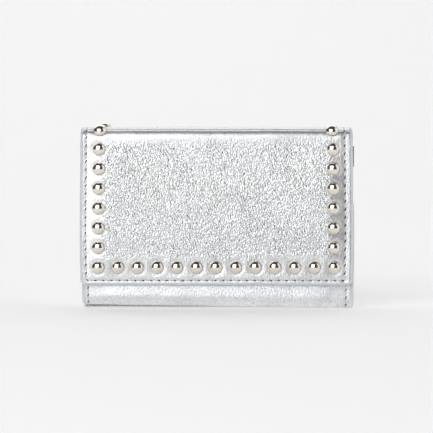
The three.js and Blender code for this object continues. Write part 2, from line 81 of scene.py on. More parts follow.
def path(s):
    """y, z, ny, nz along the outer leather; s may be an array."""
    s = np.asarray(s, float)
    a = np.clip((s - S1) / RF, 0, math.pi / 2 - LEAN) + LEAN
    b = np.clip((s - S3) / RB, 0, math.pi / 2)
    c = np.clip((s - S5) / RBASE, 0, math.pi / 2)
    d = np.clip((s - S7) / RBASE, 0, math.pi / 2 + PLEAN)
    conds = [s <= S1, s <= S2, s <= S3, s <= S4, s <= S5, s <= S6, s <= S7, s <= S8]
    y = np.select(conds, [
        FLAP_Y0 + ft[0] * s, fy - RF * np.cos(a), fy + (s - S2), by + RB * np.sin(b), BACK_Y + 0 * s,
        BACK_Y - RBASE + RBASE * np.cos(c), BACK_Y - RBASE - (s - S6), bfy - RBASE * np.sin(d)],
        proot[0] + PT[0] * (s - S8))
    z = np.select(conds, [
        FLAP_Z0 + ft[1] * s, fz + RF * np.sin(a), HEIGHT + 0 * s, bz + RB * np.cos(b), bz - (s - S4),
        RBASE - RBASE * np.sin(c), 0 * s, RBASE - RBASE * np.cos(d)],
        proot[1] + PT[1] * (s - S8))
    ny = np.select(conds, [
        fn[0] + 0 * s, -np.cos(a), 0 * s, np.sin(b), 1 + 0 * s, np.cos(c), 0 * s, -np.sin(d)], -math.cos(PLEAN) + 0 * s)
    nz = np.select(conds, [
        fn[1] + 0 * s, np.sin(a), 1 + 0 * s, np.cos(b), 0 * s, -np.sin(c), -1 + 0 * s, -np.cos(d)], math.sin(PLEAN) + 0 * s)
    return y, z, ny, nz


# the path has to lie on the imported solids
lo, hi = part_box("flap_leather")
assert abs(lo.z / MM - FLAP_Z0) < 0.6 and abs(lo.y / MM - FLAP_Y0) < 0.6, "flap moved"
lo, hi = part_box("pocket_leather")
assert abs(hi.z / MM - POCKET_TOP) < 0.6, "pocket moved"
assert abs(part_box("back_panel")[1].y / MM - BACK_Y) < 0.2, "back moved"


def half_width(s):
    return np.interp(s, [0, 20, 45, 62.6, 70.6, S4, S4 + 8, S4 + 15, S5, S6, S8, S8 + 5, S8 + 14, S9],
                     [54.75, 55.1, 54.95, 54.8, 54.5, 52.8, 52.6, 52.6, 54.2, 54.8, 54.9, 55.0, 55.3, 55.35])


def fbm(x, y, k, seed):
    return noise.noise(Vector((x * k + seed * 7.3, y * k - seed * 3.1, seed * 1.7)))


STUDS = []  # (node, u, s)
COL_S = lambda i: 7.0 + 7.95 * i
for i in range(13):
    STUDS.append((f"stud_row_{i + 1:02d}", COL_S(0)))
for i in range(1, 7):
    STUDS.append((f"stud_left_{i}", COL_S(i)))
    STUDS.append((f"stud_right_{i}", COL_S(i)))
STUDS += [("stud_fold_left", COL_S(7)), ("stud_fold_right", COL_S(7)), ("stud_rear_left", COL_S(8) + 1.0)]
stud_at = []
for node, s in STUDS:
    a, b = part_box(node)
    stud_at.append((node, (a.x + b.x) / 2 / MM, s))
SU = np.array([u for _, u, _ in stud_at])
SS = np.array([s for _, _, s in stud_at])


def smooth(x, a, b):
    t = np.clip((x - a) / (b - a), 0, 1)
    return t * t * (3 - 2 * t)


SEAM_LEFT, SEAM_RIGHT, FLAP_END = 2.45, 3.15, 1.75  # seams' distance from the edges
PITCH = 3.2


def height(u, s):
    """How far the outer leather stands above its path, in mm."""
    u, s = np.broadcast_arrays(np.asarray(u, float), np.asarray(s, float))
    flat_u, flat_s = u.ravel(), s.ravel()
    big = np.array([fbm(x, y, 1 / 17, 1) + 0.5 * fbm(x, y, 1 / 7, 2) for x, y in zip(flat_u, flat_s)])
    small = np.array([fbm(x, y, 1 / 2.6, 3) for x, y in zip(flat_u, flat_s)])
    big, small = big.reshape(u.shape), small.reshape(u.shape)
    side = half_width(s) - np.abs(u)
    seam = np.where(u < 0, SEAM_LEFT, SEAM_RIGHT)
    h = 0.16 * big + 0.030 * small
    # seams pull the leather down along the borders, a little more at each hole
    pulled = np.exp(-((side - seam) / 0.75) ** 2)
    h = h - 0.13 * pulled - 0.03 * pulled * np.cos(2 * math.pi * s / PITCH)
    end = np.where(s < 30, s - 0, 99)
    pulled = np.exp(-((end - FLAP_END) / 0.7) ** 2) * (side > 2)
    h = h - 0.13 * pulled - 0.03 * pulled * np.cos(2 * math.pi * u / PITCH)
    top_end = np.where(s > S8, S9 - s, 99)
    h = h - 0.2 * np.exp(-((top_end - 2.6) / 0.8) ** 2) * (side > 2)
    # the flap is fullest just inside its studded border, dished in the middle, and rolls back towards the fold
    on_flap = smooth(s, 2.5, 9) * (1 - smooth(s, 53, 60))
    h = h + on_flap * (np.where(u < 0, 0.46, 0.36) * smooth(side, 2.5, 10.5) - 0.50 * smooth(side, 9.5, 40))
    h = h + 0.55 * smooth(side, 2.5, 9) * smooth(s, 4, 26) * (1 - smooth(s, 33, 61))
    h = h + 0.24 * smooth(side, 3, 9) * np.exp(-((s - 66) / 6.0) ** 2)
    # the strip under the flap swells a little in the middle
    h = h + 0.25 * smooth(side, 4, 12) * np.exp(-((s - S8 - 2) / 7.0) ** 2)
    # each stud sits in a dimple
    near = [i for i in range(len(SS)) if flat_s.min() - 6 < SS[i] < flat_s.max() + 6]
    for i in near:
        r = np.hypot(u - SU[i], s - SS[i])
        h = h - 0.24 * np.exp(-((r / 3.0) ** 4)) + 0.025 * np.exp(-(((r - 4.0) / 0.9) ** 2))
    return h


def calm(u, s):
    """Where the leather is drawn tight by seams, studs and the fold, and its grain is flatter."""
    side = half_width(s) - np.abs(u)
    c = 1 - smooth(side, 5.5, 12.5)
    c = np.maximum(c, np.where(s < 40, 1 - smooth(s, 8.5, 14.5), 0))
    c = np.maximum(c, 1.08 * smooth(s, 55, 60) * (1 - smooth(s, 74, 80)))
    return c


def lift(u, z):
    """The bottom fold runs a little up to the left."""
    return (1.35 * (1 - (u + 54) / 108)) * (1 - smooth(z, 1, 16))


def surface(u, s, depth=0.0, h=None):
    u = np.asarray(u, float)
    s = np.asarray(s, float)
    y, z, ny, nz = path(s)
    if h is None:
        h = height(u, s)
    o = h - depth
    Z = z + nz * o
    front = (s > S6 + 1)
    Z = Z + np.where(front, lift(u, Z), 0)
    # the border beyond the right studs is a little wider, and the foot and pocket panel sit to the right
    X = u + 0.42 * smooth(u, 49.5, 54.0) * (1 - smooth(s, S4, S4 + 6)) + 0.72 * smooth(s, S5, S6)
    return np.stack([X + 0 * s, y + ny * o, Z], -1)


# ---------------------------------------------------------------- mesh helpers
def make(name, verts, faces, mats, mat_index=None, smooth_faces=True):
    me = bpy.data.meshes.new(name)
    me.from_pydata([tuple(v) for v in (np.asarray(verts) * MM).tolist()], [], faces)
    me.update()
    for m in mats:
        me.materials.append(m)
    if mat_index is not None:
        me.polygons.foreach_set("material_index", list(mat_index))
    if smooth_faces:
        me.polygons.foreach_set("use_smooth", [True] * len(me.polygons))
    me.validate()
    import bmesh
    bm = bmesh.new()
    bm.from_mesh(me)
    bmesh.ops.recalc_face_normals(bm, faces=bm.faces)
    bm.to_mesh(me)
    bm.free()
    ob = bpy.data.objects.new(name, me)
    scene.collection.objects.link(ob)
    return ob


def closed_grid(top, bottom):
    """A closed solid between two equal grids (rows, cols, 3)."""
    nr, nc, _ = top.shape
    verts = np.concatenate([top.reshape(-1, 3), bottom.reshape(-1, 3)])
    n = nr * nc
    faces, mat = [], []
    I = lambda r, c: r * nc + c
    for r in range(nr - 1):
        for c in range(nc - 1):
            faces.append((I(r, c), I(r, c + 1), I(r + 1, c + 1), I(r + 1, c)))
            mat.append(0)
    for r in range(nr - 1):
        for c in range(nc - 1):
            faces.append((n + I(r, c), n + I(r + 1, c), n + I(r + 1, c + 1), n + I(r, c + 1)))
            mat.append(1)
    rim = [I(0, c) for c in range(nc)] + [I(r, nc - 1) for r in range(1, nr)] + [I(nr - 1, c) for c in range(nc - 2, -1, -1)] + [I(r, 0) for r in range(nr - 2, 0, -1)]
    for a, b in zip(rim, rim[1:] + rim[:1]):
        faces.append((a, n + a, n + b, b))
        mat.append(1)
    return verts, faces, mat


def flat_rim(o, grid):
    """The cut sides of a closed grid shade on their own, so no dark line shows where two lengths meet."""
    n = 2 * (grid.shape[0] + grid.shape[1]) - 4
    k = len(o.data.polygons)
    flags = [True] * (k - n) + [False] * n
    o.data.polygons.foreach_set("use_smooth", flags)
    o.data.update()


def spaced(a, b, step):
    n = max(2, int(round((b - a) / step)) + 1)
    return np.linspace(a, b, n)


def rows_with_corner(s0, s1, step, r0=0.0, r1=0.0):
    parts = []
    a, b = s0, s1
    if r0:
        k = np.linspace(0, math.pi / 2, 7)[:-1]
        parts.append(s0 + r0 * (1 - np.cos(k)))
        a = s0 + r0
    if r1:
        b = s1 - r1
    parts.append(spaced(a, b, step))
    if r1:
        k = np.linspace(0, math.pi / 2, 7)[1:]
        parts.append(s1 - r1 + r1 * np.sin(k))
    return np.concatenate(parts)


def corner_cut(s, s0, s1, r0, r1):
    cut = np.zeros_like(s)
    if r0:
        e = np.clip(r0 - (s - s0), 0, r0)
        cut = cut + r0 - np.sqrt(np.maximum(r0 * r0 - e * e, 0))
    if r1:
        e = np.clip(r1 - (s1 - s), 0, r1)
        cut = cut + r1 - np.sqrt(np.maximum(r1 * r1 - e * e, 0))
    return cut


def grid_us(s0, s1, inset, width, step, r0=0.0, r1=0.0):
    """Grid of (u, s) that fills the outline, inset from its sides (and from a rounded end)."""
    a = s0 + (inset if r0 else 0)
    b = s1 - (inset if r1 else 0)
    q0, q1 = max(r0 - inset, 0.4) if r0 else 0, max(r1 - inset, 0.4) if r1 else 0
    rows = rows_with_corner(a, b, step, q0, q1)
    hw = width(rows) - inset
    cut = corner_cut(rows, a, b, q0, q1)
    n = int(2 * hw.max() / step) + 1
    t = np.linspace(-1, 1, n)
    m = 7.0
    U = np.zeros((len(rows), n))
    for i in range(len(rows)):
        u = t * hw[i]
        e = hw[i] - m
        k = (m - cut[i]) / m
        U[i] = np.where(np.abs(u) > e, np.sign(u) * (e + (np.abs(u) - e) * k), u)
    return U, np.repeat(rows[:, None], n, 1)


def outline_us(s0, s1, inset, width, r0=0.0, r1=0.0, step=1.0):
    """The inset outline as open polylines, each (points, normals) in (u, s)."""
    a = s0 + (inset if r0 else 0)
    b = s1 - (inset if r1 else 0)
    q0, q1 = max(r0 - inset, 0.4) if r0 else 0, max(r1 - inset, 0.4) if r1 else 0
    rows = rows_with_corner(a, b, step, q0, q1)
    hw = width(rows) - inset - corner_cut(rows, a, b, q0, q1)
    right = np.stack([hw, rows], 1)
    left = np.stack([-hw, rows], 1)
    lines = []
    if r0:
        end = np.stack([spaced(-hw[0], hw[0], step), np.full(len(spaced(-hw[0], hw[0], step)), a)], 1)
        line = np.concatenate([left[::-1], end[1:-1], right])
        lines.append(line)
    elif r1:
        end = np.stack([spaced(-hw[-1], hw[-1], step), np.full(len(spaced(-hw[-1], hw[-1], step)), b)], 1)
        line = np.concatenate([left, end[1:-1], right[::-1]])
        lines.append(line[::-1])
    else:
        lines += [left[::-1], right]
    out = []
    for L in lines:
        T = np.gradient(L, axis=0)
        T /= np.linalg.norm(T, axis=1)[:, None]
        Nn = np.stack([T[:, 1], -T[:, 0]], 1)  # to the right of the way along
        out.append((L, Nn))
    return out


def bead(name, lines, b, surf, depth0, depth1, mat, k=8, proud=0.05, lap=0.35):
    """A painted edge: a rounded strip that wraps the edge from depth0 to depth1."""
    V, F = [], []
    for L, Nn in lines:
        h = surf(L[:, 0], L[:, 1], None)
        d0 = np.broadcast_to(depth0(L[:, 1]) if callable(depth0) else depth0, (len(L),)).astype(float)
        d1 = np.broadcast_to(depth1(L[:, 1]) if callable(depth1) else depth1, (len(L),)).astype(float)
        sec = [(-lap - 0.3, 0.25, 0), (-lap, 0.0, -proud * 0.2), (-lap * 0.4, 0.0, -proud)]
        for i in range(k + 1):
            f = -math.pi / 2 + math.pi * i / k
            sec.append((b * math.cos(f) if 0 < i < k else 0.0, 0.5 + 0.5 * math.sin(f), -proud * (1 - i / k)))
        sec += [(-lap, 1.0, 0.0), (-lap - 0.3, 0.75, 0)]
        base = len(V)
        wob = np.array([0.10 * fbm(p[0], p[1], 1 / 4.0, 5) + 0.05 * fbm(p[0], p[1], 1 / 1.3, 6) for p in L])
        ring = len(sec)
        for o, kk, pr in sec:
            oo = o + (wob if o > 0.3 else 0)
            P = L + Nn * np.reshape(oo + 0 * wob, (-1, 1))
            d = d0 + (d1 - d0) * kk + pr
            V += surf(P[:, 0], P[:, 1], d, h).tolist()
        n = len(L)
        for j in range(ring):
            j2 = (j + 1) % ring
            for i in range(n - 1):
                F.append((base + j * n + i, base + j * n + i + 1, base + j2 * n + i + 1, base + j2 * n + i))
        F.append(tuple(base + j * n for j in range(ring)))
        F.append(tuple(base + j * n + n - 1 for j in range(ring))[::-1])
    return make(name, np.array(V), F, [mat])


def ellipsoid(V, F, M, c, ax, ay, az, mat, nu=8, nv=5):
    base = len(V)
    V.append((c + az).tolist())
    for j in range(1, nv):
        f = math.pi * j / nv
        for i in range(nu):
            g = 2 * math.pi * i / nu
            V.append((c + math.sin(f) * (math.cos(g) * ax + math.sin(g) * ay) + math.cos(f) * az).tolist())
    V.append((c - az).tolist())
    last = len(V) - 1
    for i in range(nu):
        F.append((base, base + 1 + i, base + 1 + (i + 1) % nu)); M.append(mat)
        F.append((last, base + 1 + (nv - 2) * nu + (i + 1) % nu, base + 1 + (nv - 2) * nu + i)); M.append(mat)
    for j in range(nv - 2):
        for i in range(nu):
            a = base + 1 + j * nu + i
            b = base + 1 + j * nu + (i + 1) % nu
            F.append((a, a + nu, b + nu, b)); M.append(mat)


def along(points, pitch, start=0.5):
    """Places and directions spaced evenly along an open polyline."""
    P = np.asarray(points, float)
    seg = np.linalg.norm(np.diff(P, axis=0), axis=1)
    d = np.concatenate([[0], np.cumsum(seg)])
    n = max(1, int(round(d[-1] / pitch)))
    at = (np.arange(n) + start) * d[-1] / n
    out = np.stack([np.interp(at, d, P[:, k]) for k in range(P.shape[1])], 1)
    fwd = np.stack([np.interp(at + 0.4, d, P[:, k]) - np.interp(at - 0.4, d, P[:, k]) for k in range(P.shape[1])], 1)
    fwd /= np.maximum(np.linalg.norm(fwd, axis=1), 1e-9)[:, None]
    return out, fwd


def stitches(name, lines, surf, thread, dark, keep=None, length=1.0, fat=0.30, side=1, tilt=-8, sink=0.02):
    """Saddle stitches along lines of (u, s), with a dark slanted mark of painted shade for the needle hole between each
    two.
    """
    V, F, M = [], [], []
    e = 0.05
    for line in lines:
        for kind, start in (("thread", 0.5), ("hole", 0.0)):
            P, D = along(line, PITCH, start)
            C = surf(P[:, 0], P[:, 1], np.full(len(P), 0.0))
            A = (surf(P[:, 0] + D[:, 0] * e, P[:, 1] + D[:, 1] * e, np.zeros(len(P))) - C) / e
            B = (surf(P[:, 0] - D[:, 1] * e, P[:, 1] + D[:, 0] * e, np.zeros(len(P))) - C) / e
            for i in range(len(P)):
                if keep is not None and not keep(P[i, 0], P[i, 1]):
                    continue
                a, b = A[i] / np.linalg.norm(A[i]), B[i]
                b = b - a * (a @ b)
                b /= np.linalg.norm(b)
                n = np.cross(a, b) * side
                w = 1 + 0.10 * fbm(P[i, 0], P[i, 1], 1.7, 8)
                if kind == "thread":
                    t = math.radians(tilt + 5 * fbm(P[i, 0], P[i, 1], 2.3, 9))
                    aa, bb = a * math.cos(t) + b * math.sin(t), b * math.cos(t) - a * math.sin(t)
                    ellipsoid(V, F, M, C[i] + n * (0.08 - sink), aa * length * w, bb * fat, n * 0.24, 0, 8, 6)
                else:
                    t = math.radians(-26)
                    aa, bb = a * math.cos(t) + b * math.sin(t), b * math.cos(t) - a * math.sin(t)
                    ellipsoid(V, F, M, C[i] + n * 0.01, aa * 0.80, bb * 0.30, n * 0.06, 1, 8, 4)
    return make(name, np.array(V), F, [thread, dark], M)


# ---------------------------------------------------------------- materials
def nodes_of(name):
    m = bpy.data.materials.new(name)
    m.use_nodes = True
    nt = m.node_tree
    nt.nodes.clear()
    out = nt.nodes.new("ShaderNodeOutputMaterial")
    bsdf = nt.nodes.new("ShaderNodeBsdfPrincipled")
    nt.links.new(bsdf.outputs[0], out.inputs[0])
    return m, nt, bsdf


def N(nt, kind, **kw):
    n = nt.nodes.new(kind)
    for k, v in kw.items():
        if k in n.inputs:
            n.inputs[k].default_value = v
        else:
            setattr(n, k, v)
    return n


def coords(nt, scale=(1, 1, 1), rot=(0, 0, 0)):
    tc = N(nt, "ShaderNodeTexCoord")
    mp = N(nt, "ShaderNodeMapping")
    mp.inputs["Scale"].default_value = scale
    mp.inputs["Rotation"].default_value = rot
    nt.links.new(tc.outputs["Object"], mp.inputs["Vector"])
    return mp.outputs["Vector"]


def ramp(nt, fac, stops):
    r = N(nt, "ShaderNodeValToRGB")
    els = r.color_ramp.elements
    while len(els) < len(stops):
        els.new(0.5)
    for e, (p, c) in zip(els, stops):
        e.position = p
        e.color = (*c, 1) if len(c) == 3 else c
    nt.links.new(fac, r.inputs["Fac"])
    return r.outputs["Color"]


def grey(v):
    return (v, v, v)


def math_node(nt, op, a, b, c=0.0, clamp=False):
    n = N(nt, "ShaderNodeMath", operation=op)
    n.use_clamp = clamp
    for i, x in enumerate((a, b, c)):
        if isinstance(x, (int, float)):
            n.inputs[i].default_value = x
        else:
            nt.links.new(x, n.inputs[i])
    return n.outputs[0]


def foil_leather(name, tone=(0.80, 0.805, 0.815), rough=(0.18, 0.28), strength=1.0, grain=1.0):
    m, nt, b = nodes_of(name)
    warp = N(nt, "ShaderNodeTexNoise", Scale=650.0, Detail=3.0)
    nt.links.new(coords(nt), warp.inputs["Vector"])
    v = coords(nt, (1.0, 1.0, 0.58), (0.0, math.radians(-20), 0.0))
    mix = N(nt, "ShaderNodeMix", data_type="VECTOR")
    mix.inputs["Factor"].default_value = 0.00055
    add = N(nt, "ShaderNodeVectorMath", operation="MULTIPLY_ADD")
    nt.links.new(warp.outputs["Color"], add.inputs[0])
    add.inputs[1].default_value = (0.0006, 0.0006, 0.0006)
    nt.links.new(v, add.inputs[2])
    pebble = N(nt, "ShaderNodeTexVoronoi", feature="SMOOTH_F1", Scale=1700.0 * grain, Smoothness=0.5)
    nt.links.new(add.outputs[0], pebble.inputs["Vector"])
    crease = N(nt, "ShaderNodeTexVoronoi", feature="DISTANCE_TO_EDGE", Scale=1100.0 * grain)
    nt.links.new(add.outputs[0], crease.inputs["Vector"])
    fold = ramp(nt, crease.outputs["Distance"], [(0.0, grey(0.0)), (0.16, grey(0.75)), (0.5, grey(1.0))])
    fine = N(nt, "ShaderNodeTexNoise", Scale=2600.0, Detail=4.0, Roughness=0.6)
    nt.links.new(coords(nt), fine.inputs["Vector"])
    wave = N(nt, "ShaderNodeTexNoise", Scale=330.0, Detail=3.0, Roughness=0.55)
    nt.links.new(coords(nt, (1, 1, 0.7), (0, math.radians(-18), 0)), wave.inputs["Vector"])
    h = math_node(nt, "MULTIPLY", pebble.outputs["Distance"], -1.0)
    h = math_node(nt, "ADD", h, math_node(nt, "MULTIPLY", fold, 0.22))
    h = math_node(nt, "ADD", h, math_node(nt, "MULTIPLY", fine.outputs["Fac"], 0.22))
    h = math_node(nt, "ADD", h, math_node(nt, "MULTIPLY", wave.outputs["Fac"], 0.5))
    bump = N(nt, "ShaderNodeBump", Strength=strength, Distance=0.00027)
    tight = N(nt, "ShaderNodeAttribute", attribute_name="calm")
    nt.links.new(math_node(nt, "MULTIPLY_ADD", tight.outputs["Fac"], -0.78 * strength, strength), bump.inputs["Strength"])
    nt.links.new(h, bump.inputs["Height"])
    nt.links.new(bump.outputs[0], b.inputs["Normal"])
    patch = N(nt, "ShaderNodeTexNoise", Scale=90.0, Detail=4.0, Roughness=0.6)
    nt.links.new(coords(nt), patch.inputs["Vector"])
    t = np.array(tone)
    col = ramp(nt, patch.outputs["Fac"], [(0.3, tuple(t * 0.93)), (0.7, tuple(np.minimum(t * 1.05, 1)))])
    # painted shade: the base colour is darkened along the grain's creases, where shade falls in the grooves
    crease_shade = N(nt, "ShaderNodeMix", data_type="RGBA", blend_type="MULTIPLY")
    crease_shade.inputs["Factor"].default_value = 0.5
    nt.links.new(col, crease_shade.inputs["A"])
    nt.links.new(ramp(nt, crease.outputs["Distance"], [(0.0, grey(0.45)), (0.10, grey(1.0))]), crease_shade.inputs["B"])
    nt.links.new(crease_shade.outputs["Result"], b.inputs["Base Color"])
    r = N(nt, "ShaderNodeMapRange")
    r.inputs["To Min"].default_value, r.inputs["To Max"].default_value = rough
    nt.links.new(patch.outputs["Fac"], r.inputs["Value"])
    nt.links.new(math_node(nt, "MULTIPLY_ADD", tight.outputs["Fac"], 0.13, r.outputs[0]), b.inputs["Roughness"])
    b.inputs["Metallic"].default_value = 0.92
    return m


def plain_leather(name, tone, rough=0.55, scale=1500.0, strength=0.5, metallic=0.0):
    m, nt, b = nodes_of(name)
    peb = N(nt, "ShaderNodeTexVoronoi", feature="SMOOTH_F1", Scale=scale, Smoothness=0.6)
    nt.links.new(coords(nt), peb.inputs["Vector"])
    fine = N(nt, "ShaderNodeTexNoise", Scale=3200.0, Detail=4.0)
    nt.links.new(coords(nt), fine.inputs["Vector"])
    h = math_node(nt, "ADD", math_node(nt, "MULTIPLY", peb.outputs["Distance"], -0.6), math_node(nt, "MULTIPLY", fine.outputs["Fac"], 0.3))
    bump = N(nt, "ShaderNodeBump", Strength=strength, Distance=0.0001)
    nt.links.new(h, bump.inputs["Height"])
    nt.links.new(bump.outputs[0], b.inputs["Normal"])
    patch = N(nt, "ShaderNodeTexNoise", Scale=120.0, Detail=3.0)
    nt.links.new(coords(nt), patch.inputs["Vector"])
    t = np.array(tone)
    nt.links.new(ramp(nt, patch.outputs["Fac"], [(0.3, tuple(t * 0.9)), (0.7, tuple(np.minimum(t * 1.08, 1)))]), b.inputs["Base Color"])
    r = N(nt, "ShaderNodeMapRange")
    r.inputs["To Min"].default_value, r.inputs["To Max"].default_value = rough - 0.08, rough + 0.1
    nt.links.new(fine.outputs["Fac"], r.inputs["Value"])
    nt.links.new(r.outputs[0], b.inputs["Roughness"])
    b.inputs["Metallic"].default_value = metallic
    return m


def metal(name, tone, rough=(0.06, 0.16), scratch=0.12):
    m, nt, b = nodes_of(name)
    n1 = N(nt, "ShaderNodeTexNoise", Scale=900.0, Detail=5.0, Roughness=0.65)
    nt.links.new(coords(nt, (1, 0.25, 1), (0, 0, 0.6)), n1.inputs["Vector"])
    n2 = N(nt, "ShaderNodeTexNoise", Scale=160.0, Detail=3.0)
    nt.links.new(coords(nt), n2.inputs["Vector"])
    r = N(nt, "ShaderNodeMapRange")
    r.inputs["From Min"].default_value, r.inputs["From Max"].default_value = 0.35, 0.7
    r.inputs["To Min"].default_value, r.inputs["To Max"].default_value = rough
    nt.links.new(n1.outputs["Fac"], r.inputs["Value"])
    nt.links.new(r.outputs[0], b.inputs["Roughness"])
    t = np.array(tone)
    nt.links.new(ramp(nt, n2.outputs["Fac"], [(0.35, tuple(t * 0.95)), (0.65, tuple(t))]), b.inputs["Base Color"])
    bump = N(nt, "ShaderNodeBump", Strength=scratch, Distance=0.00003)
    nt.links.new(n1.outputs["Fac"], bump.inputs["Height"])
    nt.links.new(bump.outputs[0], b.inputs["Normal"])
    b.inputs["Metallic"].default_value = 1.0
    return m


def paint(name, tone, rough=0.34):
    m, nt, b = nodes_of(name)
    n1 = N(nt, "ShaderNodeTexNoise", Scale=420.0, Detail=3.0)
    nt.links.new(coords(nt), n1.inputs["Vector"])
    t = np.array(tone)
    nt.links.new(ramp(nt, n1.outputs["Fac"], [(0.3, tuple(t * 0.93)), (0.7, tuple(t * 1.04))]), b.inputs["Base Color"])
    bump = N(nt, "ShaderNodeBump", Strength=0.35, Distance=0.0001)
    nt.links.new(n1.outputs["Fac"], bump.inputs["Height"])
    nt.links.new(bump.outputs[0], b.inputs["Normal"])
    r = N(nt, "ShaderNodeMapRange")
    r.inputs["To Min"].default_value, r.inputs["To Max"].default_value = rough - 0.06, rough + 0.1
    nt.links.new(n1.outputs["Fac"], r.inputs["Value"])
    nt.links.new(r.outputs[0], b.inputs["Roughness"])
    return m


def thread_material(name, tone, metallic=0.55, rough=0.38):
    m, nt, b = nodes_of(name)
    w = N(nt, "ShaderNodeTexWave", Scale=900.0, Distortion=1.5, Detail=2.0)
    nt.links.new(coords(nt, (1, 1, 1), (0.5, 0.6, 0.7)), w.inputs["Vector"])
    t = np.array(tone)
    nt.links.new(ramp(nt, w.outputs["Fac"], [(0.0, tuple(t * 0.75)), (0.6, tuple(t))]), b.inputs["Base Color"])
    bump = N(nt, "ShaderNodeBump", Strength=0.6, Distance=0.00008)
    nt.links.new(w.outputs["Fac"], bump.inputs["Height"])
    nt.links.new(bump.outputs[0], b.inputs["Normal"])
    b.inputs["Roughness"].default_value = rough
    b.inputs["Metallic"].default_value = metallic
    return m


FOIL = foil_leather("foil_leather")
# painted light: the same silver leather with a brighter tone, so the strip under the flap and the coin pocket's pieces
# read lighter; it is also smoother and rougher
FOIL_SOFT_PAINTED_LIGHT = foil_leather("foil_leather_soft_painted_light", tone=(0.90, 0.905, 0.915), rough=(0.34, 0.44), strength=0.30)
LINING = plain_leather("lining_leather", (0.36, 0.38, 0.42), 0.58, 1700.0, 0.45)
LINING_SATIN = plain_leather("slot_leather", (0.47, 0.49, 0.53), 0.5, 1500.0, 0.5, 0.15)
FLESH = plain_leather("leather_back", (0.50, 0.49, 0.47), 0.8, 900.0, 0.7)
PAINT = paint("edge_paint", (0.70, 0.735, 0.775))
THREAD = thread_material("silver_thread", (0.78, 0.78, 0.78))
# painted shade: near-black flattened marks stand in for the shade inside each needle hole
HOLE_SHADE = plain_leather("needle_hole_shade", (0.035, 0.036, 0.04), 0.7, 2500.0, 0.5)
STUD = metal("champagne_plate", (0.87, 0.815, 0.735))
NICKEL = metal("nickel_plate", (0.74, 0.72, 0.68), (0.10, 0.22), 0.2)
MAGNET = metal("dark_magnet", (0.16, 0.16, 0.17), (0.38, 0.6), 0.4)
BOARD = plain_leather("stiffener_board", (0.42, 0.38, 0.31), 0.85, 700.0, 0.6)

# ---------------------------------------------------------------- the outer leather, in four lengths cut near the creases
CREASE = [(COL_S(6) + COL_S(7)) / 2, (COL_S(7) + COL_S(8)) / 2, COL_S(8) + 4.2]
CUT1, CUT2, CUT3 = COL_S(7), COL_S(8), S6 + 3.0


def at(s, depth=0.65):
    y, z, ny, nz = path(s)
    return (0.0, float(y - ny * depth) * MM, float(z - nz * depth) * MM)


def thick(s):
    """Depth of the whole laminate under the outer face."""
    return np.interp(s, [0, 54, 58, 74, 78, S5 - 2, S5 + 3, S8 - 1, S8 + 2, S9], [2.95, 2.95, 2.15, 2.15, 1.32, 1.32, 2.15, 2.15, 2.25, 2.25])


def surf_fn(u, s, d, h=None):
    if d is None:
        return height(u, s)
    return surface(u, s, d, h)


def strip(tag, s0, s1, bl, r0=0.0, r1=0.0, b=1.15, lined=True, step=0.62, replaces=(), lining_replaces=(), stitch_lines=(), mat=FOIL, lap=0.35):
    made = []
    U, S = grid_us(s0, s1, b, half_width, step, r0, r1)
    h = height(U, S)
    side = half_width(S) - np.abs(U) - b
    end = np.full_like(S, 99.0)
    if r0:
        end = np.minimum(end, S - s0 - b)
    if r1:
        end = np.minimum(end, s1 - b - S)
    top = surface(U, S, 0.0, h)
    bottom = surface(U, S, np.minimum(LEATHER, thick(S)), h * 0.4)
    V, F, M = closed_grid(top, bottom)
    o = make(tag + "_skin", V, F, [mat, FLESH], M)
    flat_rim(o, U)
    tight = calm(U, S).ravel()
    o.data.attributes.new("calm", "FLOAT", "POINT").data.foreach_set("value", np.concatenate([tight, tight]).astype(np.float32))
    if replaces:
        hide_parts(*replaces)
    made.append(o)
    if lined:
        U2, S2 = grid_us(s0, s1, b, half_width, 1.4, r0, r1)
        h2 = height(U2, S2) * 0.4
        V, F, M = closed_grid(surface(U2, S2, LEATHER + 0.02, h2), surface(U2, S2, thick(S2), h2 * 0.6))
        o = make(tag + "_inner_skin", V, F, [LINING, LINING], M)
        flat_rim(o, U2)
        if lining_replaces:
            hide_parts(*lining_replaces)
        made.append(o)
    lines = outline_us(s0, s1, b, half_width, r0, r1, 0.7)
    o = bead(tag + "_edge_paint", lines, b, surf_fn, 0.0, thick, PAINT, lap=lap)
    made.append(o)
    if len(stitch_lines):
        o = stitches(tag + "_stitching", stitch_lines, surf_fn, THREAD, HOLE_SHADE, side=stitch_side)
        made.append(o)
    for o in made:
        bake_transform(o)
    return made


stitch_side = 1


def side_line(sign, s0, s1, inset):
    s = spaced(s0, s1, 0.8)
    return np.stack([sign * (half_width(s) - inset), s], 1)


def u_line(s_top, s_end, inset_side, inset_end, r, at_start=True):
    """A seam that runs down one side, round the end and up the other; further in on the right."""
    more = SEAM_RIGHT - SEAM_LEFT
    if at_start:
        s = rows_with_corner(s_end + inset_end, s_top, 0.8, r, 0)
        hw = half_width(s) - inset_side - corner_cut(s, s_end + inset_end, s_top, r, 0)
        left = np.stack([-hw, s], 1)[::-1]
        right = np.stack([hw - more, s], 1)
        mid_u = spaced(-hw[0], hw[0] - more, 0.8)[1:-1]
        mid = np.stack([mid_u, np.full(len(mid_u), s[0])], 1)
    else:
        s = rows_with_corner(s_top, s_end - inset_end, 0.8, 0, r)
        hw = half_width(s) - inset_side - corner_cut(s, s_top, s_end - inset_end, 0, r)
        left = np.stack([-hw, s], 1)
        right = np.stack([hw - more, s], 1)[::-1]
        mid_u = spaced(-hw[-1], hw[-1] - more, 0.8)[1:-1]
        mid = np.stack([mid_u, np.full(len(mid_u), s[-1])], 1)
    return np.concatenate([left, mid, right])


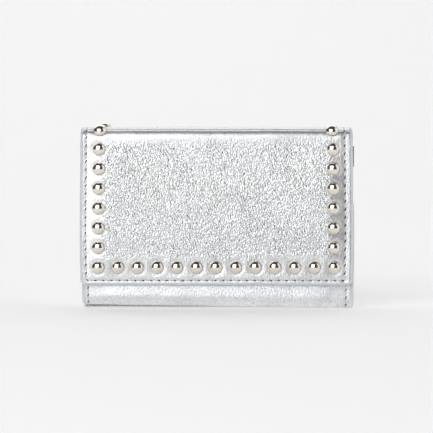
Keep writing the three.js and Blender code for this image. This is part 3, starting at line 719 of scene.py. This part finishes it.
strip("flap", 0, CUT1, ("fold", "flap", at(61.6), at(57.2)), r0=2.2, b=0.85, lap=0.12,
      replaces=("flap_leather",), lining_replaces=("flap_lining", "flap_stiffener"),
      stitch_lines=[u_line(CUT1, 0, SEAM_LEFT, FLAP_END, 0.9)])
strip("front_fold", CUT1, CUT2, ("spine", "fold", at(68.8), at(63.6)), b=0.85, lap=0.12, replaces=("fold_leather",), lining_replaces=("fold_lining",),
      stitch_lines=[side_line(-1, CUT1, CUT2, SEAM_LEFT), side_line(1, CUT1, CUT2, SEAM_RIGHT)])
strip("spine_and_back", CUT2, CUT3, ("body", "spine", at(78.0), at(72.2)), lined=False, b=0.85, lap=0.12, replaces=("spine_top_leather", "back_panel"),
      stitch_lines=[side_line(-1, CUT2, CUT3, SEAM_LEFT), side_line(1, CUT2, CUT3, SEAM_RIGHT)])
strip("foot_and_pocket", CUT3, S9, ("body", "pocket", at(S8 - 2.2), at(S8 + 2.4)), r1=4.0,
      replaces=("base_fold_leather", "pocket_leather"), lining_replaces=("pocket_lining", "base_fold_lining"), mat=FOIL_SOFT_PAINTED_LIGHT,
      stitch_lines=[u_line(CUT3, S9, SEAM_LEFT, 2.6, 2.0, at_start=False)])

# spine lining, over the back crease
U2, SV = grid_us(CUT2, 77.5, 0.6, half_width, 1.0)
hh = height(U2, SV) * 0.3
V, F, M = closed_grid(surface(U2, SV, LEATHER + 0.02, hh), surface(U2, SV, 2.1, hh))
o = make("spine_inner_skin", V, F, [LINING, LINING], M)
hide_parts("spine_top_lining")
at(78.0)
at(72.2)
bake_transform(o)

# ---------------------------------------------------------------- studs and snaps
def lathe(name, profile, mat, n=48):
    V, F = [], []
    prof = list(profile)
    rings = []
    for r, w in prof:
        if r < 1e-6:
            rings.append([len(V)])
            V.append((0, 0, w))
        else:
            rings.append(list(range(len(V), len(V) + n)))
            V += [(r * math.cos(2 * math.pi * i / n), r * math.sin(2 * math.pi * i / n), w) for i in range(n)]
    pairs = list(zip(rings, rings[1:]))
    if len(rings[0]) > 1 and len(rings[-1]) > 1:
        pairs.append((rings[-1], rings[0]))
    for a, b in pairs:
        for i in range(n):
            j = (i + 1) % n
            if len(a) == 1:
                F.append((a[0], b[i], b[j]))
            elif len(b) == 1:
                F.append((a[i], a[j], b[0]))
            else:
                F.append((a[i], a[j], b[j], b[i]))
    return make(name, np.array(V), F, [mat])


def place(o, pos, normal, up=(0, 0, 1)):
    nz = Vector(normal).normalized()
    ux = Vector(up).cross(nz)
    if ux.length < 1e-3:
        ux = Vector((1, 0, 0))
    ux.normalize()
    uy = nz.cross(ux)
    m = Matrix.Identity(4)
    for i, col in enumerate((ux, uy, nz)):
        m[0][i], m[1][i], m[2][i] = col
    m.translation = Vector(pos) * MM
    o.matrix_world = m
    return o


dome = [(0, -0.6), (0.7, -0.6), (0.7, -0.18), (2.4, -0.2), (2.62, -0.16), (2.7, -0.05), (2.72, 0.08)]
for i in range(1, 17):
    f = math.radians(90 * i / 16)
    dome.append((2.7 * math.cos(f) if i < 16 else 0.0, 0.10 + 2.08 * math.sin(f)))
dome_mesh = None
BODY_OF = {n: b for b, ns in frame["record"]["behaviour"]["bodies"].items() for n in ns}
for k, (node, u, s) in enumerate(stud_at):
    if dome_mesh is None:
        o = lathe(node + "_dome", dome, STUD, 40)
        dome_mesh = o.data
    else:
        o = bpy.data.objects.new(node + "_dome", dome_mesh)
        scene.collection.objects.link(o)
    y, z, ny, nz = [float(x) for x in path(s)]
    c = surface(np.array([u]), np.array([s]), -0.18)[0]
    # each is set by hand, so none stands quite square
    j1, j2 = 0.035 * math.sin(k * 2.3), 0.035 * math.sin(k * 3.7 + 1)
    place(o, c, (j1, ny, nz + j2), up=(1, 0, 0))
    o.rotation_mode = "QUATERNION"
    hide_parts(node)
    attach(o, BODY_OF[node])

# magnetic snap
SNAP_S, DF = 19.4, 2.95


def flap_point(u, s, w):
    return (u, FLAP_Y0 + ft[0] * s + fn[0] * w, FLAP_Z0 + ft[1] * s + fn[1] * w)


FN = (0, fn[0], fn[1])
o = lathe("flap_snap_cup_shell", [(0, -1.5), (6.2, -1.5), (6.4, -1.7), (6.45, -2.9), (6.9, -3.02), (6.9, -3.2), (6.35, -3.3), (6.3, -3.62), (6.1, -3.7), (5.9, -3.62), (5.88, -1.95), (0, -1.95)][::-1], NICKEL, 56)
place(o, flap_point(0, SNAP_S, 0), FN, up=(1, 0, 0))
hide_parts("flap_snap_cup"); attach(o, "flap")
o = lathe("flap_snap_ring_magnet", [(2.9, -2.1), (5.7, -2.1), (5.72, -3.45), (5.6, -3.56), (3.05, -3.56), (2.9, -3.45)][::-1], MAGNET, 56)
place(o, flap_point(0, SNAP_S, 0), FN, up=(1, 0, 0))
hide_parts("flap_snap_magnet"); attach(o, "flap")
plo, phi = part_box("pocket_snap_plate")
pc = (plo + phi) / 2 / MM
v = (pc.y - proot[0]) * PT[0] + (pc.z - proot[1]) * PT[1]
sp = S8 + v
y, z, ny, nz = [float(x) for x in path(sp)]
base = surface(np.array([0.0]), np.array([sp]), 0.0)[0]
o = lathe("pocket_snap_face", [(0, -0.3), (5.6, -0.3), (6.0, -0.1), (6.0, 0.14), (5.8, 0.26), (4.2, 0.3), (4.0, 0.2), (3.2, 0.2), (3.0, 0.32), (2.1, 0.36), (1.9, 0.5), (1.8, 0.86), (1.55, 1.0), (0, 1.0)], NICKEL, 56)
place(o, base, (0, ny, nz), up=(1, 0, 0))
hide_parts("pocket_snap_plate"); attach(o, "pocket")

# ---------------------------------------------------------------- flat leaves inside: lining and card slots
def leaf(name, node, body, mat, width, z0, z1, y_front, y_back, r_top, facing=-1, seam=1.6, bow=0.0, frame_fn=None, edge=True, seam_top=True, stitch=True, wiggle=0.06, step=1.3):
    """A flat panel with rounded edges; y_front is the face that is looked at."""
    t = abs(y_back - y_front)
    hw = lambda s: np.full_like(np.asarray(s, float), width / 2)
    b = min(0.45, t * 0.6)

    def fn3(u, s, d, h=None):
        u = np.asarray(u, float); s = np.asarray(s, float)
        if h is None:
            uu, ss = np.broadcast_arrays(u, s)
            h = np.array([wiggle * fbm(a, c, 1 / 16, 4) for a, c in zip(uu.ravel(), ss.ravel())]).reshape(uu.shape)
            h = h + bow * np.clip(1 - (uu / (width / 2)) ** 2, 0, 1) * np.clip(1 - ((ss - (z0 + z1) / 2) / ((z1 - z0) / 2)) ** 2, 0, 1)
        if d is None:
            return h
        y = y_front + facing * (h - d)
        P = np.stack([u + 0 * s, y + 0 * u, s + 0 * u], -1)
        return P if frame_fn is None else frame_fn(P)
    U, S = grid_us(z0, z1, b, hw, step, 1.0, r_top)
    h = fn3(U, S, None)
    V, F, M = closed_grid(fn3(U, S, 0.0, h), fn3(U, S, t, h))
    o = make(name, V, F, [mat, mat], M)
    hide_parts(node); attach(o, body)
    if edge:
        a = z0 + b
        q = max(r_top - b, 0.4)
        rows = rows_with_corner(a, z1 - b, 1.2, 0.6, q)
        hh = hw(rows) - b - corner_cut(rows, a, z1 - b, 0.6, q)
        mid = spaced(-hh[-1], hh[-1], 1.2)[1:-1]
        L = np.concatenate([np.stack([-hh, rows], 1), np.stack([mid, np.full(len(mid), z1 - b)], 1), np.stack([hh, rows], 1)[::-1]])[::-1]
        T = np.gradient(L, axis=0); T /= np.linalg.norm(T, axis=1)[:, None]
        Nn = np.stack([T[:, 1], -T[:, 0]], 1)
        e = bead(name + "_edge_paint", [(L, Nn)], b, fn3, 0.0, t, PAINT, k=6, proud=0.02, lap=0.15)
        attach(e, body)
    if stitch:
        w = width / 2 - seam
        lines = [np.array([[-w, z0 + 1.5], [-w, z1 - r_top]]), np.array([[w, z0 + 1.5], [w, z1 - r_top]])]
        if seam_top:
            lines.append(np.array([[-w + r_top, z1 - 1.5], [w - r_top, z1 - 1.5]]))
        st = stitches(name + "_stitching", lines, fn3, THREAD, HOLE_SHADE, length=1.0, fat=0.22, side=stitch_dir(fn3))
        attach(st, body)
    return o


def stitch_dir(f):
    """+1 if u x s points out of the surface."""
    c = f(np.array([0.0]), np.array([20.0]), np.array([0.0]))[0]
    a = f(np.array([0.1]), np.array([20.0]), np.array([0.0]))[0] - c
    b = f(np.array([0.0]), np.array([20.1]), np.array([0.0]))[0] - c
    out = f(np.array([0.0]), np.array([20.0]), np.array([-0.1]))[0] - c
    return 1 if np.dot(np.cross(a, b), out) > 0 else -1


def ybox(node):
    a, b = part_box(node)
    return a.y / MM, b.y / MM, a.z / MM, b.z / MM, (b.x - a.x) / MM


for node, mat, r, seam_top in (("back_lining", LINING, 2, False), ("card_slot_upper", LINING_SATIN, 2, True), ("card_slot_middle", LINING_SATIN, 2, True), ("card_slot_lower", LINING_SATIN, 2, True)):
    y0, y1, z0, z1, w = ybox(node)
    leaf(node + "_leather", node, "body", mat, w, z0, z1, y0, y1, r, facing=-1, seam_top=seam_top)

# the card slot on the pocket panel lies in the panel's own plane
PN3 = np.array([-math.cos(PLEAN), math.sin(PLEAN)])


def pocket_frame(P):
    """From (x, w, v) on the pocket panel to the row frame: w is the depth under its outer face."""
    x, w, v = P[..., 0], P[..., 1], P[..., 2]
    return np.stack([x, proot[0] + PT[0] * v - PN3[0] * w, proot[1] + PT[1] * v - PN3[1] * w], -1)


VL = (POCKET_TOP - proot[1]) / PT[1]
leaf("pocket_card_slot_leather", "pocket_card_slot", "pocket", LINING_SATIN, 99, 1.8, VL - 7, 3.15, 2.5, 2, facing=1, frame_fn=pocket_frame)

# ---------------------------------------------------------------- coin pocket on the back
y0, y1, z0, z1, w = ybox("coin_pocket_wall")
leaf("coin_pocket_wall_leather", "coin_pocket_wall", "body", FOIL, w, z0 + 0.05, z1, y1, y0, 4, facing=1, seam=2.6, bow=0.35, wiggle=0.16, step=0.8)
for side, node in ((-1, "coin_gusset_left"), (1, "coin_gusset_right")):
    a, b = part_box(node)
    ya, yb, za, zb = a.y / MM, b.y / MM + 0.1, a.z / MM, b.z / MM
    xo = max(abs(a.x), abs(b.x)) / MM
    t = np.linspace(0, 1, 15)
    z = spaced(za, zb, 1.5)
    T, Z = np.meshgrid(t, z)
    fold = 3.0 * (1 - np.abs(2 * T - 1)) ** 0.85 * (0.55 + 0.45 * smooth(Z, za, zb))
    wig = np.array([0.25 * fbm(p, q, 1 / 9, 11) for p, q in zip(T.ravel() * 10, Z.ravel())]).reshape(T.shape)
    outer = np.stack([side * (xo - fold - wig), ya + (yb - ya) * T, Z], -1)
    inner = np.stack([side * (xo - fold - wig - 0.75), ya + (yb - ya) * T, Z], -1)
    V, F, M = closed_grid(outer, inner)
    o = make(node + "_bellows", V, F, [FOIL_SOFT_PAINTED_LIGHT, LINING], M)
    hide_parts(node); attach(o, "body")

# lid
llo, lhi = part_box("coin_lid_leather")
LID_W = (lhi.x - llo.x) / MM
ZT, ZB, YL0, YL1 = lhi.z / MM, llo.z / MM, llo.y / MM, lhi.y / MM
LR = 4.2
L1 = YL1 - LR - YL0
L2 = L1 + LR * math.pi / 2
L3 = L2 + (ZT - LR - ZB)


def lid_path(s):
    s = np.asarray(s, float)
    f = np.clip((s - L1) / LR, 0, math.pi / 2)
    y = np.where(s <= L1, YL0 + s, YL1 - LR + LR * np.sin(f))
    z = np.where(s <= L1, ZT, np.where(s <= L2, ZT - LR + LR * np.cos(f), ZT - LR - (s - L2)))
    return y, z, np.sin(f), np.cos(f)


def lid_hw(s):
    return np.full_like(np.asarray(s, float), LID_W / 2)


def lid_height(u, s):
    uu, ss = np.broadcast_arrays(np.asarray(u, float), np.asarray(s, float))
    h = np.array([0.14 * fbm(a, c, 1 / 12, 12) + 0.03 * fbm(a, c, 1 / 2.6, 13) for a, c in zip(uu.ravel(), ss.ravel())]).reshape(uu.shape)
    side = LID_W / 2 - np.abs(uu)
    return h - 0.2 * np.exp(-((side - 2.6) / 0.8) ** 2) + 0.25 * smooth(side, 3, 14) * smooth(ss, L2, L2 + 6)


def lid_surf(u, s, d, h=None):
    if h is None:
        h = lid_height(u, s)
    if d is None:
        return h
    y, z, ny, nz = lid_path(s)
    u = np.asarray(u, float)
    return np.stack([u + 0 * y, y + ny * (h - d), z + nz * (h - d)], -1)


def lid_grid(inset, step):
    return grid_us(0, L3, inset, lid_hw, step, 0, 9.0)


lid_parts = []
U, S = lid_grid(0.75, 0.8)
h = lid_height(U, S)
V, F, M = closed_grid(lid_surf(U, S, 0.0, h), lid_surf(U, S, 1.0, h * 0.5))
o = make("coin_lid_skin", V, F, [FOIL, LINING], M)
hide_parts("coin_lid_leather"); lid_parts.append(o)
o = bead("coin_lid_edge_paint", outline_us(0, L3, 0.75, lid_hw, 0, 9.0, 0.8), 0.75, lid_surf, 0.0, 1.0, PAINT, k=6)
lid_parts.append(o)
s = rows_with_corner(0.8, L3 - 2.6, 0.8, 0, 6.6)
hw = LID_W / 2 - 2.6 - corner_cut(s, 0.8, L3 - 2.6, 0, 6.6)
mid = spaced(-hw[-1], hw[-1], 0.8)[1:-1]
line = np.concatenate([np.stack([-hw, s], 1), np.stack([mid, np.full(len(mid), s[-1])], 1), np.stack([hw, s], 1)[::-1]])
lid_dir = 1 if True else -1
a0 = lid_surf(np.array([0.0]), np.array([L2 + 5]), np.array([0.0]))[0]
da = lid_surf(np.array([0.1]), np.array([L2 + 5]), np.array([0.0]))[0] - a0
ds = lid_surf(np.array([0.0]), np.array([L2 + 5.1]), np.array([0.0]))[0] - a0
dn = lid_surf(np.array([0.0]), np.array([L2 + 5]), np.array([-0.1]))[0] - a0
lid_dir = 1 if np.dot(np.cross(da, ds), dn) > 0 else -1
o = stitches("coin_lid_stitching", [line], lid_surf, THREAD, HOLE_SHADE, side=lid_dir)
lid_parts.append(o)
for o in lid_parts:
    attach(o, "coin_lid")
# the lid's root: a narrow turned strip against the back, just below the line that the lid hinges on
U, S = np.meshgrid(spaced(-LID_W / 2 + 0.6, LID_W / 2 - 0.6, 1.2), np.linspace(0, 1, 9))
prof = np.array([[7.02, 61.9], [7.15, 61.82], [7.24, 61.6], [7.28, 61.2], [7.26, 60.8], [7.2, 60.4], [7.12, 59.9], [7.05, 59.5], [7.0, 59.2]])
o = None
outer = np.stack([U, np.interp(S, np.linspace(0, 1, 9), prof[:, 0]), np.interp(S, np.linspace(0, 1, 9), prof[:, 1])], -1)
inner = outer.copy(); inner[..., 1] = 6.75
V, F, M = closed_grid(outer, inner)
o = make("coin_lid_root_strip", V, F, [FOIL_SOFT_PAINTED_LIGHT, FOIL_SOFT_PAINTED_LIGHT], M)
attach(o, "body")

# snap on the lid and the wall
clo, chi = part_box("coin_snap_cap")
cz = (clo.z + chi.z) / 2 / MM
o = lathe("coin_snap_cap_shell", [(0, -0.9), (1.0, -0.9), (1.0, -0.02), (4.7, -0.05), (4.98, 0.05), (5.0, 0.2), (4.92, 0.36), (4.6, 0.58), (3.9, 0.82), (2.6, 1.02), (1.3, 1.12), (0, 1.15)], STUD, 56)
place(o, (0, YL1 + 0.12, cz), (0, 1, 0), up=(0, 0, 1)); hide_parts("coin_snap_cap"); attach(o, "coin_lid")
o = lathe("coin_snap_socket_ring", [(2.0, -0.12), (3.75, -0.08), (3.92, -0.2), (3.9, -0.42), (3.6, -0.75), (3.3, -0.86), (2.2, -0.86), (2.0, -0.72)][::-1], NICKEL, 56)
place(o, (0, YL1 - 1.0, cz), (0, 1, 0), up=(0, 0, 1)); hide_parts("coin_snap_socket"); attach(o, "coin_lid")
o = lathe("coin_snap_post", [(0, -1.15), (3.1, -1.15), (3.2, -1.05), (3.1, -0.95), (0.9, -0.95), (0.9, -0.05), (2.5, -0.02), (2.6, 0.12), (2.5, 0.3), (1.55, 0.42), (1.5, 0.6), (1.62, 0.85), (1.4, 1.05), (1.0, 1.12), (0, 1.12)], NICKEL, 56)
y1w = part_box("coin_pocket_wall")[1].y / MM
place(o, (0, y1w + 0.3, cz), (0, 1, 0), up=(0, 0, 1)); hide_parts("coin_snap_stud"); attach(o, "body")

# ---------------------------------------------------------------- ring and loop
rlo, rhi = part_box("d_ring")
rx, rz = (rlo.x + rhi.x) / 2 / MM, (rlo.z + rhi.z) / 2 / MM
ry0, ry1 = rlo.y / MM + 0.7, rhi.y / MM - 0.7
hz = (rhi.z - rlo.z) / 2 / MM - 0.7
line = []
for i in range(9):
    line.append((ry0, -hz + 1.2 + (2 * hz - 2.4) * i / 8))
for i in range(1, 5):
    f = math.radians(90 * i / 5)
    line.append((ry0 + 1.2 * (1 - math.cos(f)), hz - 1.2 + 1.2 * math.sin(f)))
R2 = min(hz, ry1 - ry0 - 1.4)
cy = ry1 - R2
for i in range(0, 25):
    f = math.radians(90 - 180 * i / 24)
    line.append((cy + R2 * math.cos(f), hz * math.sin(f)))
for i in range(1, 5):
    f = math.radians(90 * i / 5)
    line.append((ry0 + 1.2 * (1 - math.sin(f)), -hz + 1.2 - 1.2 * math.cos(f)))
L = np.array(line)
n, k = len(L), 16
V, F = [], []
for i in range(n):
    t = L[(i + 1) % n] - L[i - 1]
    t /= np.linalg.norm(t)
    nn = np.array([t[1], -t[0]])
    for j in range(k):
        f = 2 * math.pi * j / k
        V.append((rx + 0.7 * math.sin(f), L[i, 0] + nn[0] * 0.7 * math.cos(f), rz + L[i, 1] + nn[1] * 0.7 * math.cos(f)))
for i in range(n):
    for j in range(k):
        F.append((i * k + j, i * k + (j + 1) % k, ((i + 1) % n) * k + (j + 1) % k, ((i + 1) % n) * k + j))
o = make("d_ring_wire", np.array(V), F, [NICKEL])
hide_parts("d_ring"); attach(o, "ring")

# painted shade: the ring's loop is coloured near-black so it shows as the dark shaded sliver beside the flap's right
# edge
TAB_SHADED_LEATHER = plain_leather("loop_leather_painted_shade", (0.16, 0.165, 0.18), 0.45, 1500.0, 0.5, 0.3)


def finish_node(node, mat, width=0.00018, segments=2):
    ob = frame["nodes"][node]
    ob.data.materials.clear()
    ob.data.materials.append(mat)
    w = ob.modifiers.new("weld", "WELD"); w.merge_threshold = 1e-6
    bv = ob.modifiers.new("bevel", "BEVEL"); bv.width = width; bv.segments = segments; bv.limit_method = "ANGLE"; bv.angle_limit = math.radians(40)
    wn = ob.modifiers.new("wn", "WEIGHTED_NORMAL")
    return ob


finish_node("ring_tab", TAB_SHADED_LEATHER, 0.00012)
finish_node("coin_gusset_base", FOIL_SOFT_PAINTED_LIGHT, 0.00035, 3)

# ---------------------------------------------------------------- stage
def stage_mesh(name, verts, faces, mat):
    me = bpy.data.meshes.new(name)
    me.from_pydata(verts, [], faces)
    me.materials.append(mat)
    o = bpy.data.objects.new(name, me)
    scene.collection.objects.link(o)
    me.polygons.foreach_set("use_smooth", [True] * len(me.polygons))
    return o


def flat_material(name, colour, rough=0.9, emit=0.0):
    m, nt, b = nodes_of(name)
    b.inputs["Base Color"].default_value = (*colour, 1)
    b.inputs["Roughness"].default_value = rough
    if emit:
        b.inputs["Emission Color"].default_value = (*colour, 1)
        b.inputs["Emission Strength"].default_value = emit
    return m


FLOOR_GLOW, WALL_GLOW = 0.30, 0.212


def glow(name, colour, emit, albedo=0.0):
    m, nt, b = nodes_of(name)
    b.inputs["Base Color"].default_value = (albedo, albedo, albedo, 1)
    b.inputs["Roughness"].default_value = 1.0
    b.inputs["Specular IOR Level"].default_value = 0.0
    b.inputs["Emission Color"].default_value = (*colour, 1)
    b.inputs["Emission Strength"].default_value = emit
    return m


FLOOR = glow("floor_paper", (1.0, 1.0, 0.997), 0.4, 0.80)
nt = FLOOR.node_tree
even = N(nt, "ShaderNodeMapRange")
even.inputs["From Min"].default_value, even.inputs["From Max"].default_value = 0.2, 0.9
even.inputs["To Min"].default_value, even.inputs["To Max"].default_value = FLOOR_GLOW, WALL_GLOW
sep = N(nt, "ShaderNodeSeparateXYZ")
nt.links.new(coords(nt), sep.inputs[0])
nt.links.new(sep.outputs["Y"], even.inputs["Value"])
for n_ in nt.nodes:
    if n_.type == "BSDF_PRINCIPLED":
        nt.links.new(even.outputs[0], n_.inputs["Emission Strength"])
prof = [(-3.0, 0.0), (0.9, 0.0)]
for i in range(1, 13):
    f = math.radians(90 * i / 12)
    prof.append((0.9 + 0.9 * math.sin(f), 0.9 - 0.9 * math.cos(f)))
prof.append((1.8, 3.0))
verts, faces = [], []
for y, z in prof:
    verts += [(-3.2, y, z), (3.2, y, z)]
for i in range(len(prof) - 1):
    faces.append((2 * i, 2 * i + 1, 2 * i + 3, 2 * i + 2))
stage_mesh("floor_sweep", verts, faces, FLOOR)
# white boards over the back and on the right; the room in front is dim
stage_mesh("top_board", [(-1.7, 0.30, 1.3), (0.9, 0.30, 1.3), (0.9, 1.7, 1.3), (-1.7, 1.7, 1.3)], [(0, 1, 2, 3)], glow("board_white", (1, 1, 1), 1.15, 0.3))
stage_mesh("right_board", [(1.25, -0.95, 0.0), (1.25, 0.9, 0.0), (1.25, 0.9, 1.9), (1.25, -0.95, 1.9)], [(0, 1, 2, 3)], glow("board_right", (1, 0.995, 0.985), 0.75, 0.3))


def area(name, pos, target, size, power, colour=(1, 1, 1), size_y=None):
    d = bpy.data.lights.new(name, "AREA")
    d.energy = power
    d.color = colour
    d.size = size
    if size_y:
        d.shape = "RECTANGLE"
        d.size_y = size_y
    o = bpy.data.objects.new(name, d)
    o.location = pos
    o.rotation_euler = (Vector(target) - Vector(pos)).to_track_quat("-Z", "Y").to_euler()
    scene.collection.objects.link(o)
    return o


area("softbox", (-0.401, -1.044, 0.598), (0, 0, 0.04), 1.12, 9.0)

world = bpy.data.worlds.new("studio")
scene.world = world
world.use_nodes = True
world.node_tree.nodes["Background"].inputs[0].default_value = (0.9, 0.93, 1.0, 1)
world.node_tree.nodes["Background"].inputs[1].default_value = 0.07

# ---------------------------------------------------------------- camera
AZ, EL, DIST, FPX = math.radians(0.42), math.radians(2.5), 0.9, 2211.5
target = Vector((0.00015, 0, 0.03686))
back = Vector((math.sin(AZ) * math.cos(EL), -math.cos(AZ) * math.cos(EL), math.sin(EL)))
cd = bpy.data.cameras.new("camera")
cam = bpy.data.objects.new("camera", cd)
scene.collection.objects.link(cam)
cam.location = target + back * DIST
cam.rotation_euler = (target - cam.location).to_track_quat("-Z", "Y").to_euler()
cd.sensor_width = 36
cd.lens = 36 * FPX / 433
cd.clip_start, cd.clip_end = 0.05, 20
scene.camera = cam
scene.view_settings.view_transform = "Standard"
